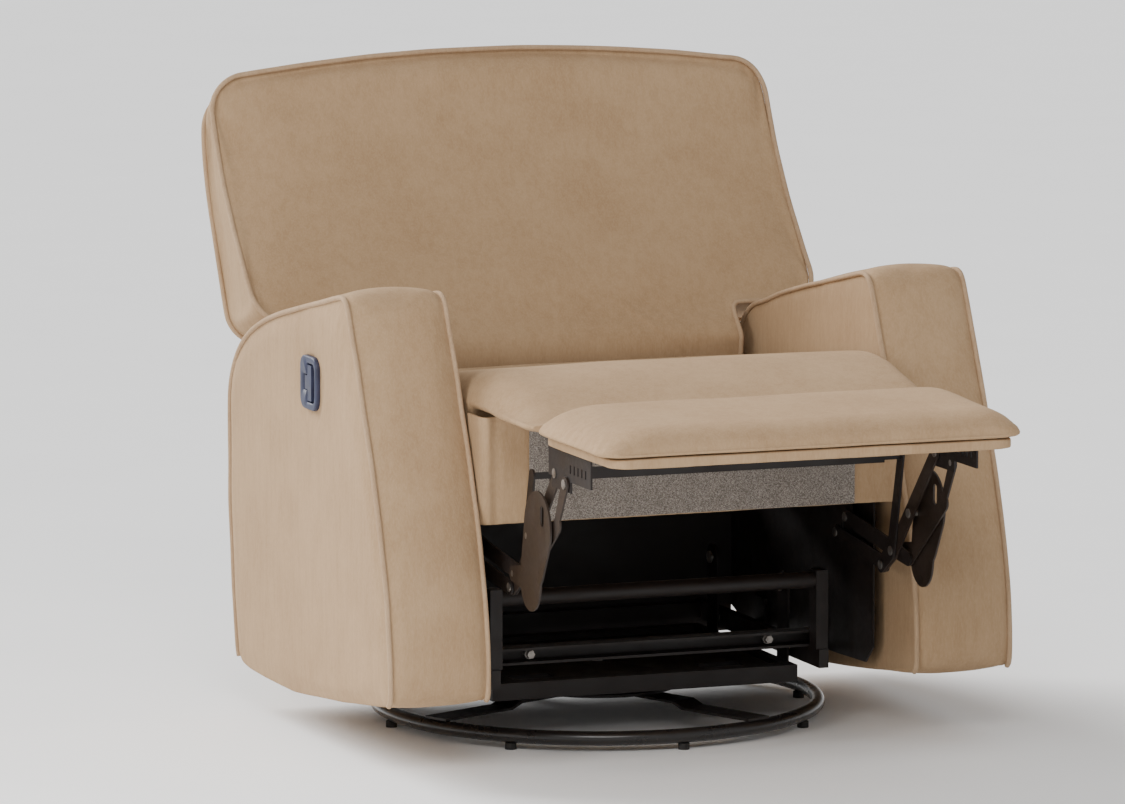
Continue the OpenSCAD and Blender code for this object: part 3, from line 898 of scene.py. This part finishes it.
def make_back():
    """Front cushion, boxing and outside back in one cover, with a welt round each side."""
    front = back_outline(wing=0.484, tail=0.327, low=0.620, top=1.022, bottom=0.448)
    rear = back_outline(wing=0.477, tail=0.322, low=0.569, top=0.992, bottom=0.442)

    def front_y(flat):
        d = edge_distance(flat, front)
        depth = 0.010 * puff(d, 0.028) + 0.024 * puff(d, 0.24) - 0.9 * GROOVE * hump(d, 0.006, 0.004)
        depth *= 0.12 + 0.88 * smoothstep(0.56, 0.70, flat[:, 1])
        return np.interp(flat[:, 1], BACK_FRONT[:, 1], BACK_FRONT[:, 0]) - depth

    def rear_y(flat):
        d = edge_distance(flat, rear)
        return np.interp(flat[:, 1], BACK_REAR[:, 1], BACK_REAR[:, 0]) - 0.004 + 0.007 * puff(d, 0.06)

    def stand(flat, depth):
        return np.column_stack([flat[:, 0], depth(flat), flat[:, 1]])

    loops = [stand(BACK_HEART + (front - BACK_HEART) * share, front_y) for share in BACK_RINGS]
    edge_front, edge_rear = stand(front, front_y), stand(rear, rear_y)
    push = outward(front)
    for t in BOXING:
        ring = edge_front * (1 - t) + edge_rear * t
        bulge = 0.0045 * math.sin(math.pi * t) - GROOVE * (hump(t, 0.05, 0.03) + hump(t, 0.95, 0.03))
        ring[:, 0] += push[:, 0] * bulge
        ring[:, 2] += push[:, 1] * bulge
        loops.append(ring)
    loops += [stand(BACK_HEART + (rear - BACK_HEART) * share, rear_y) for share in BACK_RINGS[::-1]]
    cover = loft("back_upholstery", loops)

    points = coords(cover)
    row = np.arange(len(points)) // len(front)
    first, last = len(BACK_RINGS), len(BACK_RINGS) + len(BOXING) - 1     # the rings of the two seams
    pins = np.where(points[:, 2] < 0.60, 0.9, 0.0)
    pins[row > last] = 0.85
    pins[(row == first) | (row == last)] = 1.0
    inflate(cover, pins, pressure=4.0, cap=0.010)
    seen = coords(cover)[:, [0, 2]]
    away = np.minimum(edge_distance(seen, front), edge_distance(seen, rear))
    wrinkle(cover, 0.0009, seed=2.0, share=np.exp(-away / 0.03))
    subdivide(cover)
    soft_piece(cover, "back", "back_cushion", "outside_back", fill=0.7)

    def piping(flat, depth, lift):
        """Path of a welt round the back, left open along the lower edge."""
        keep = flat[:, 1] > 0.455
        start = np.argmax(~keep)
        flat = np.roll(flat, -start, 0)[np.roll(keep, -start)]
        return resample(stand(flat, depth) - (0, lift, 0), 640, closed=False)

    add_welt("back_front_welt", piping(front + push * 0.0012, front_y, 0.0016), "back")
    add_welt("back_rear_welt", piping(rear + outward(rear) * 0.0014, rear_y, -0.0012), "back")


# ---------------------------------------------------------------- seat, bridge and seat front

# the crown of the seat in the side view, from the bridge pad's front edge to the back, as (y, z)
SEAT_TOP = np.array([
    (-0.598, 0.556), (-0.594, 0.563), (-0.584, 0.570), (-0.560, 0.579), (-0.500, 0.599),
    (-0.440, 0.613), (-0.380, 0.621), (-0.330, 0.620), (-0.260, 0.610), (-0.180, 0.597),
    (-0.100, 0.585), (0.000, 0.570), (0.060, 0.561), (0.130, 0.550), (0.160, 0.543), (0.174, 0.525),
])
SEAT_FRONT, SEAT_REAR = SEAT_TOP[0, 0], 0.12
SEAT_HALF = 0.3455
SEAT_SEAM, SEAT_BOTTOM = 0.566, 0.5525     # heights of the side seam and of the underside, at the front
SEAT_COLUMNS = 45                      # points across the top of the seat, and as many below


def make_seat():
    """Seat cushion and bridge pad under one cover, which dips towards the bridge pad's front edge."""
    stations = np.concatenate([
        SEAT_FRONT + 0.042 * (1 - np.cos(np.linspace(0, math.pi / 2, 9))),
        np.linspace(-0.546, SEAT_REAR, 56),
        SEAT_REAR + 0.054 * np.sin(np.linspace(0.2, math.pi / 2, 7)),
    ])
    tops = np.interp(stations, SEAT_TOP[:, 0], SEAT_TOP[:, 1])
    tops = np.convolve(np.pad(tops, 2, "edge"), np.ones(5) / 5, "valid")
    across = np.sin(0.5 * math.pi * np.linspace(1, -1, SEAT_COLUMNS))
    loops = []
    for y, top in zip(stations, tops):
        end = smoothstep(SEAT_FRONT, -0.577, y)
        bridge = 1 - smoothstep(-0.47, -0.42, y)
        width = SEAT_HALF - 0.004 * bridge - 0.008 * (1 - end)
        seam = SEAT_SEAM - 0.010 * bridge - 0.052 * smoothstep(-0.24, 0.15, y)
        bottom = SEAT_BOTTOM - 0.0045 * bridge - 0.085 * smoothstep(-0.345, -0.325, y)
        gap = width * (1 - abs(across))
        slack_side = 0.86 * puff(gap, 0.062) + 0.14 * puff(gap, 0.30)
        full_side = 0.92 * puff(gap, 0.028) + 0.08 * puff(gap, 0.20)
        rise = np.where(across < 0, slack_side, full_side)
        row = np.full(SEAT_COLUMNS, y)
        upper = np.column_stack([width * across, row, seam + (top - seam) * rise])
        lower = np.column_stack([-width * across, row, seam - (seam - bottom) * puff(gap, 0.02)])
        loops.append(np.vstack([upper, lower[1:-1]]))
    cushion = loft("seat_upholstery", loops)

    points = coords(cushion)
    column = np.arange(len(points)) % len(loops[0])
    pins = np.where((column == 0) | (column >= SEAT_COLUMNS - 1), 1.0, 0.0)
    pins[(points[:, 1] > SEAT_REAR) | (points[:, 1] < SEAT_FRONT + 0.006)] = 1.0
    inflate(cushion, pins, pressure=4.0, cap=0.007)
    gap = 0.345 - abs(coords(cushion)[:, 0])
    wrinkle(cushion, 0.0011, seed=6.0, share=np.exp(-np.maximum(gap, 0) / 0.02), fine=70.0)
    subdivide(cushion)
    points = coords(cushion)
    points[:, 0] = np.clip(points[:, 0], -SEAT_HALF - 0.002, SEAT_HALF + 0.002)
    set_coords(cushion, points)
    soft_piece(cushion, None, "seat_cushion", "bridge_pad", fill=0.7)
    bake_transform(cushion)


PANEL_HALF, PANEL_FACE, PANEL_REAR = 0.3495, -0.4115, -0.349     # the seat front cover from above
PANEL_LOW, PANEL_HIGH = 0.381, 0.5475
ROLL_X, STITCH_X, ROLL_GATHER = 0.338, 0.3235, 0.0105     # places of the roll and its seam, and the pitch


def make_seat_front():
    """Cover of the front board: a flat panel between two rolled and gathered ends."""
    def plan(inset):
        """The cover from above, open to the rear: two short sides, two round corners and the panel."""
        end = PANEL_HALF - inset
        front = PANEL_FACE + inset
        turn = np.linspace(0, math.pi / 2, 8)
        radius = 0.014 - inset
        side = [(end, y) for y in np.linspace(PANEL_REAR, front + radius, 6)]
        corner = [(end - radius * (1 - math.cos(a)), front + radius * (1 - math.sin(a))) for a in turn]
        panel = [(x, front) for x in np.linspace(end - radius - 0.004, 0.0, 60)]
        half = np.array(side + corner[1:] + panel)
        return np.vstack([half, half[-2::-1] * (-1, 1)])

    outer, inner = plan(0.0), plan(0.006)
    ring = np.vstack([outer, inner[::-1]])
    is_outer = np.arange(len(ring)) < len(outer)
    x = abs(ring[:, 0])
    roll = 0.0035 * hump(x, ROLL_X, 0.008) - 0.0022 * hump(x, STITCH_X, 0.0028)
    heights = np.concatenate([
        PANEL_LOW + 0.004 * np.array([0, 0.3, 1]),
        np.linspace(PANEL_LOW + 0.008, PANEL_HIGH - 0.008, 34),
        PANEL_HIGH - 0.006 * np.array([1, 0.5, 0.15, 0]),
    ])
    loops = []
    for z in heights:
        loop = np.column_stack([ring, np.full(len(ring), z)])
        gather = 0.0010 * np.sin(z * 2 * math.pi / ROLL_GATHER) * hump(x, STITCH_X, 0.007)
        edge = 0.003 * (1 - puff(min(z - PANEL_LOW, PANEL_HIGH - z) + 0.0005, 0.008))
        loop[:, 1] += np.where(is_outer, -(roll + gather) + edge, -edge)
        loops.append(loop)
    cover = loft("seat_front_upholstery", loops)
    wrinkle(cover, 0.0006, seed=12.0, fine=60.0)
    subdivide(cover)
    soft_piece(cover, "chassis", "seat_front_cover", fill=0.9)


# ---------------------------------------------------------------- footrest

FOOTREST = np.array([0.0, -0.7625])    # middle of the footrest, as (x, y)
PAD_HALF_X, PAD_HALF_Y, PAD_CORNER = 0.342, 0.151, 0.034
PAD_SEAM, PAD_HEIGHT, PAD_BOTTOM = 0.5555, 0.049, 0.5505
# rings of the pad's top, as shares of the way from its middle to its seam
PAD_RINGS = (0.03, 0.12, 0.22, 0.32, 0.42, 0.52, 0.61, 0.69, 0.76, 0.82, 0.87, 0.91, 0.94, 0.965, 0.985,
             0.996)
GATHER_PITCH = 0.013                   # from one fold to the next at the pad's ends
BOARD_X, BOARD_Y, BOARD_CORNER, BOARD_TOP = 0.648, 0.292, 0.024, 0.5492


def make_footrest_pad():
    """The pad, fuller at its +X end, with gathers where its ends meet the seam."""
    outline = resample(rounded_loop(2 * PAD_HALF_X, 2 * PAD_HALF_Y, PAD_CORNER), 220)

    def top_z(flat):
        ends = puff(PAD_HALF_X - abs(flat[:, 0]), np.where(flat[:, 0] < 0, 0.095, 0.060))
        long_sides = puff(PAD_HALF_Y - abs(flat[:, 1]), 0.066)
        slope = 0.91 + 0.09 * np.sin(flat[:, 1] / PAD_HALF_Y * 1.9)
        return PAD_SEAM + PAD_HEIGHT * ends * long_sides * slope

    def flat_ring(share, z):
        return np.column_stack([outline * share + FOOTREST, np.full(len(outline), z)])

    loops = [np.column_stack([outline * share + FOOTREST, top_z(outline * share)]) for share in PAD_RINGS]
    loops.append(flat_ring(1, PAD_SEAM))
    loops += [flat_ring(share, PAD_BOTTOM) for share in (0.99, 0.96, 0.88, 0.75, 0.55, 0.3, 0.05)]
    pad = loft("footrest_upholstery", loops)

    points = coords(pad)
    gap = edge_distance(points[:, :2] - FOOTREST, outline)
    pins = np.where((gap < 0.0006) | (points[:, 2] < PAD_SEAM - 0.0005), 1.0, 0.0)
    inflate(pad, pins, pressure=4.0, cap=0.006)
    points = coords(pad)
    gap = edge_distance(points[:, :2] - FOOTREST, outline)
    ends = smoothstep(0.27, 0.33, abs(points[:, 0]))
    along = points[:, 1] + 0.004 * ripple(points, 30.0, 3.0)
    gathers = ends * np.sin(along * 2 * math.pi / GATHER_PITCH) * np.exp(-gap / 0.024)
    top = points[:, 2] > PAD_SEAM + 0.0005
    points[:, 2] += np.where(top, 0.0030 * gathers, 0)
    set_coords(pad, points)
    wrinkle(pad, 0.0010, seed=20.0, share=np.where(top, np.exp(-gap / 0.03), 0.1), fine=75.0)
    subdivide(pad)
    soft_piece(pad, "footrest", "footrest_pad", fill=0.75)


def make_footrest_board():
    """The board under the pad, wrapped in the same fabric. Each ring is (share of the size, drop)."""
    rings = ((0.6, 0.0), (0.98, 0.0), (1, 0.002), (1, 0.005), (1, 0.0125), (1, 0.0155), (0.985, 0.0170),
             (0.6, 0.0170))
    loops = []
    for share, drop in rings:
        wide = resample(rounded_loop(BOARD_X * share, BOARD_Y * share, BOARD_CORNER, 10), 200)
        loops.append(np.column_stack([wide + FOOTREST, np.full(len(wide), BOARD_TOP - drop)]))
    board = loft("footrest_board_cover", loops)
    wrinkle(board, 0.0006, seed=31.0, fine=80.0)
    subdivide(board)
    soft_piece(board, "footrest", "footrest_board")


make_camera()
make_stage()
paint_nodes()
for side in (-1, 1):
    make_arm(side)
make_back()
make_bezel()
make_handle()
make_seat()
make_seat_front()
make_footrest_pad()
make_footrest_board()
